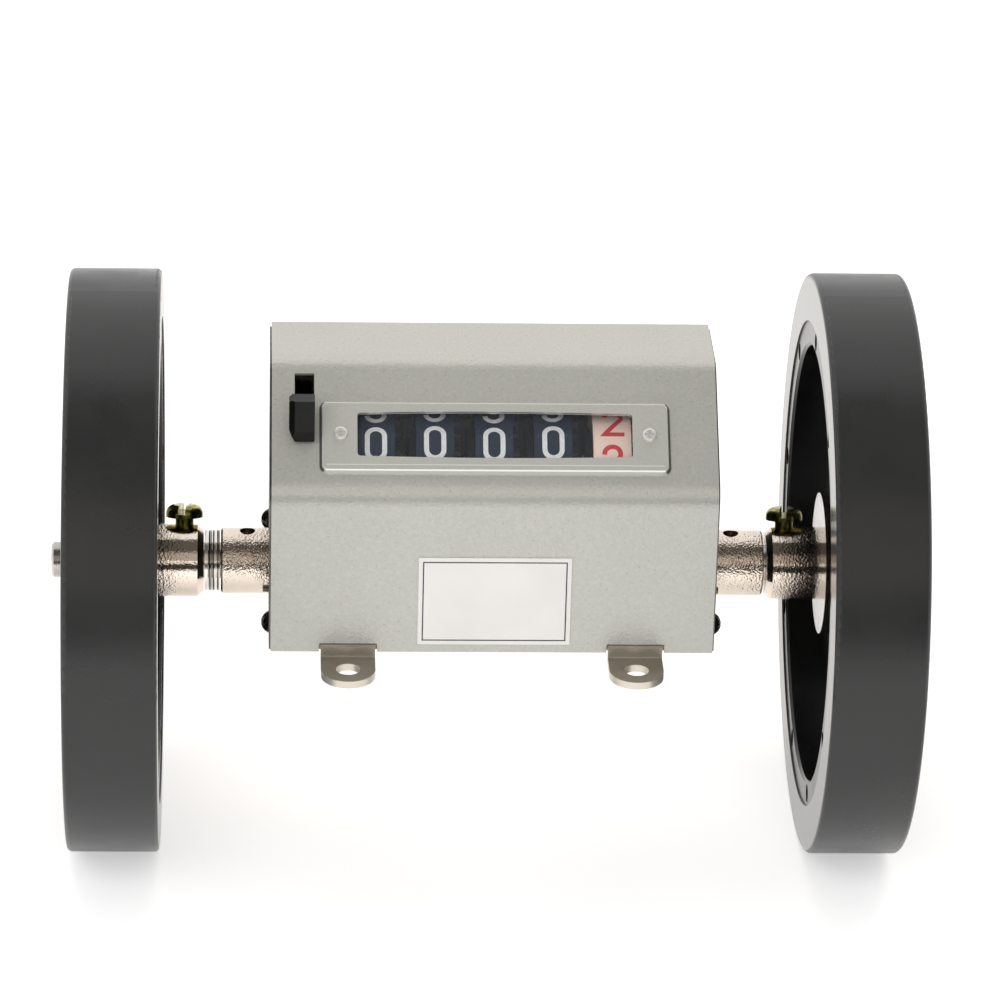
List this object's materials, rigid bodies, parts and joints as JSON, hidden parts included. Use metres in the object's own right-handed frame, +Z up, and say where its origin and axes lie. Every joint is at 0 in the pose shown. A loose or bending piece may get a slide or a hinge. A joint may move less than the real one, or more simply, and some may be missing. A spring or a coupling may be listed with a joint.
{
  "type": "cable length counter",
  "caption": "Rolling-wheel length counter: rubber measuring wheels on one axle drive number wheels in a painted sheet casing with a window, reset lever and feet.",
  "frame": {"origin": "centre of the foot-hole pattern, on the underside of the feet", "axes": "+X along the axle to the reader's right, -Y towards the reader, +Z up"},
  "size_m": [0.1576, 0.1062, 0.1062],
  "materials": {
    "casing_paint": "grey-green hammertone paint",
    "nickel": "bright nickel plate",
    "plate_steel": "dark steel",
    "lens_clear": "clear",
    "screw_silver": "bright",
    "screw_dark": "blackened",
    "screw_zinc": "yellow zinc plate",
    "label_white": "white with a thin border",
    "shaft_steel": "ground",
    "bush_bronze": "sintered bronze",
    "gear_brass": "cut brass",
    "gear_plastic": "dark moulded",
    "drum_dark": "dark blue-black",
    "drum_cream": "cream",
    "black_plastic": "black moulded",
    "rim_plastic": "black moulded",
    "tyre_rubber": "smooth dark grey rubber"
  },
  "bodies": {
    "housing": {"casing_cover": "casing_paint", "window_bezel": "casing_paint", "base_plate": "nickel", "left_side_plate": "plate_steel", "right_side_plate": "plate_steel", "window_lens": "lens_clear", "bezel_screws": "screw_silver", "side_plate_screws": "screw_dark", "plate_rivets": "screw_dark", "label_plate": "label_white", "frame_tie_rods": "shaft_steel", "left_bearing_boss": "nickel", "right_bearing_boss": "nickel", "left_bearing_bush": "bush_bronze", "right_bearing_bush": "bush_bronze", "number_shaft": "shaft_steel", "shaft_spacers": "shaft_steel", "pinion_shaft": "shaft_steel", "reset_spring": "shaft_steel"},
    "axle": {"thrust_washers": "shaft_steel", "axle_shaft": "shaft_steel", "drive_gear": "gear_brass", "drive_gear_pin": "shaft_steel", "left_hub": "nickel", "left_rim": "rim_plastic", "left_tyre": "tyre_rubber", "left_set_screw": "screw_zinc", "right_hub": "nickel", "right_rim": "rim_plastic", "right_tyre": "tyre_rubber", "right_set_screw": "screw_zinc"},
    "reset_lever_body": {"reset_shaft": "shaft_steel", "reset_lever": "black_plastic", "reset_knob": "black_plastic", "reset_fingers": "gear_brass"},
    "thousands_wheel": {"thousands_drum": "drum_dark", "thousands_gear": "gear_plastic"},
    "hundreds_wheel": {"hundreds_drum": "drum_dark", "hundreds_gear": "gear_plastic", "hundreds_cam": "gear_plastic"},
    "tens_wheel": {"tens_drum": "drum_dark", "tens_gear": "gear_plastic", "tens_cam": "gear_plastic"},
    "units_wheel": {"units_drum": "drum_dark", "units_gear": "gear_plastic", "units_cam": "gear_plastic"},
    "tenths_wheel": {"tenths_drum": "drum_cream", "tenths_gear": "gear_plastic", "tenths_cam": "gear_plastic"},
    "hundreds_pinion_body": {"hundreds_pinion": "gear_brass"},
    "tens_pinion_body": {"tens_pinion": "gear_brass"},
    "units_pinion_body": {"units_pinion": "gear_brass"},
    "tenths_pinion_body": {"tenths_pinion": "gear_brass"}
  },
  "joints": [
    {"name": "axle_turn", "type": "hinge", "parent": "housing", "child": "axle", "pos_m": [0, 0, 0.0114], "axis": [1, 0, 0], "continuous": true},
    {"name": "reset_lift", "type": "hinge", "parent": "housing", "child": "reset_lever_body", "pos_m": [0, 0.0145, 0.037], "axis": [-1, 0, 0], "range_deg": [0, 14], "stiffness_Nm_per_rad": 0.004, "springref_deg": -20.05},
    {"name": "thousands_turn", "type": "hinge", "parent": "housing", "child": "thousands_wheel", "pos_m": [0, -0.0007, 0.02939], "axis": [1, 0, 0], "continuous": true},
    {"name": "hundreds_turn", "type": "hinge", "parent": "housing", "child": "hundreds_wheel", "pos_m": [0, -0.0007, 0.02939], "axis": [1, 0, 0], "continuous": true},
    {"name": "hundreds_pinion_turn", "type": "hinge", "parent": "housing", "child": "hundreds_pinion_body", "pos_m": [0, -0.011, 0.01794], "axis": [1, 0, 0], "continuous": true},
    {"name": "tens_turn", "type": "hinge", "parent": "housing", "child": "tens_wheel", "pos_m": [0, -0.0007, 0.02939], "axis": [1, 0, 0], "continuous": true},
    {"name": "tens_pinion_turn", "type": "hinge", "parent": "housing", "child": "tens_pinion_body", "pos_m": [0, -0.011, 0.01794], "axis": [1, 0, 0], "continuous": true},
    {"name": "units_turn", "type": "hinge", "parent": "housing", "child": "units_wheel", "pos_m": [0, -0.0007, 0.02939], "axis": [1, 0, 0], "continuous": true},
    {"name": "units_pinion_turn", "type": "hinge", "parent": "housing", "child": "units_pinion_body", "pos_m": [0, -0.011, 0.01794], "axis": [1, 0, 0], "continuous": true},
    {"name": "tenths_turn", "type": "hinge", "parent": "housing", "child": "tenths_wheel", "pos_m": [0, -0.0007, 0.02939], "axis": [1, 0, 0], "continuous": true},
    {"name": "tenths_pinion_turn", "type": "hinge", "parent": "housing", "child": "tenths_pinion_body", "pos_m": [0, -0.011, 0.01794], "axis": [1, 0, 0], "continuous": true}
  ],
  "couplings": [
    {"joint": "thousands_turn", "follows": "axle_turn", "ratio": -0.000033333},
    {"joint": "hundreds_turn", "follows": "axle_turn", "ratio": -0.00033333},
    {"joint": "hundreds_pinion_turn", "follows": "axle_turn", "ratio": 0.000083333},
    {"joint": "tens_turn", "follows": "axle_turn", "ratio": -0.0033333},
    {"joint": "tens_pinion_turn", "follows": "axle_turn", "ratio": 0.00083333},
    {"joint": "units_turn", "follows": "axle_turn", "ratio": -0.033333},
    {"joint": "units_pinion_turn", "follows": "axle_turn", "ratio": 0.0083333},
    {"joint": "tenths_turn", "follows": "axle_turn", "ratio": -0.33333},
    {"joint": "tenths_pinion_turn", "follows": "axle_turn", "ratio": 0.083333}
  ]
}
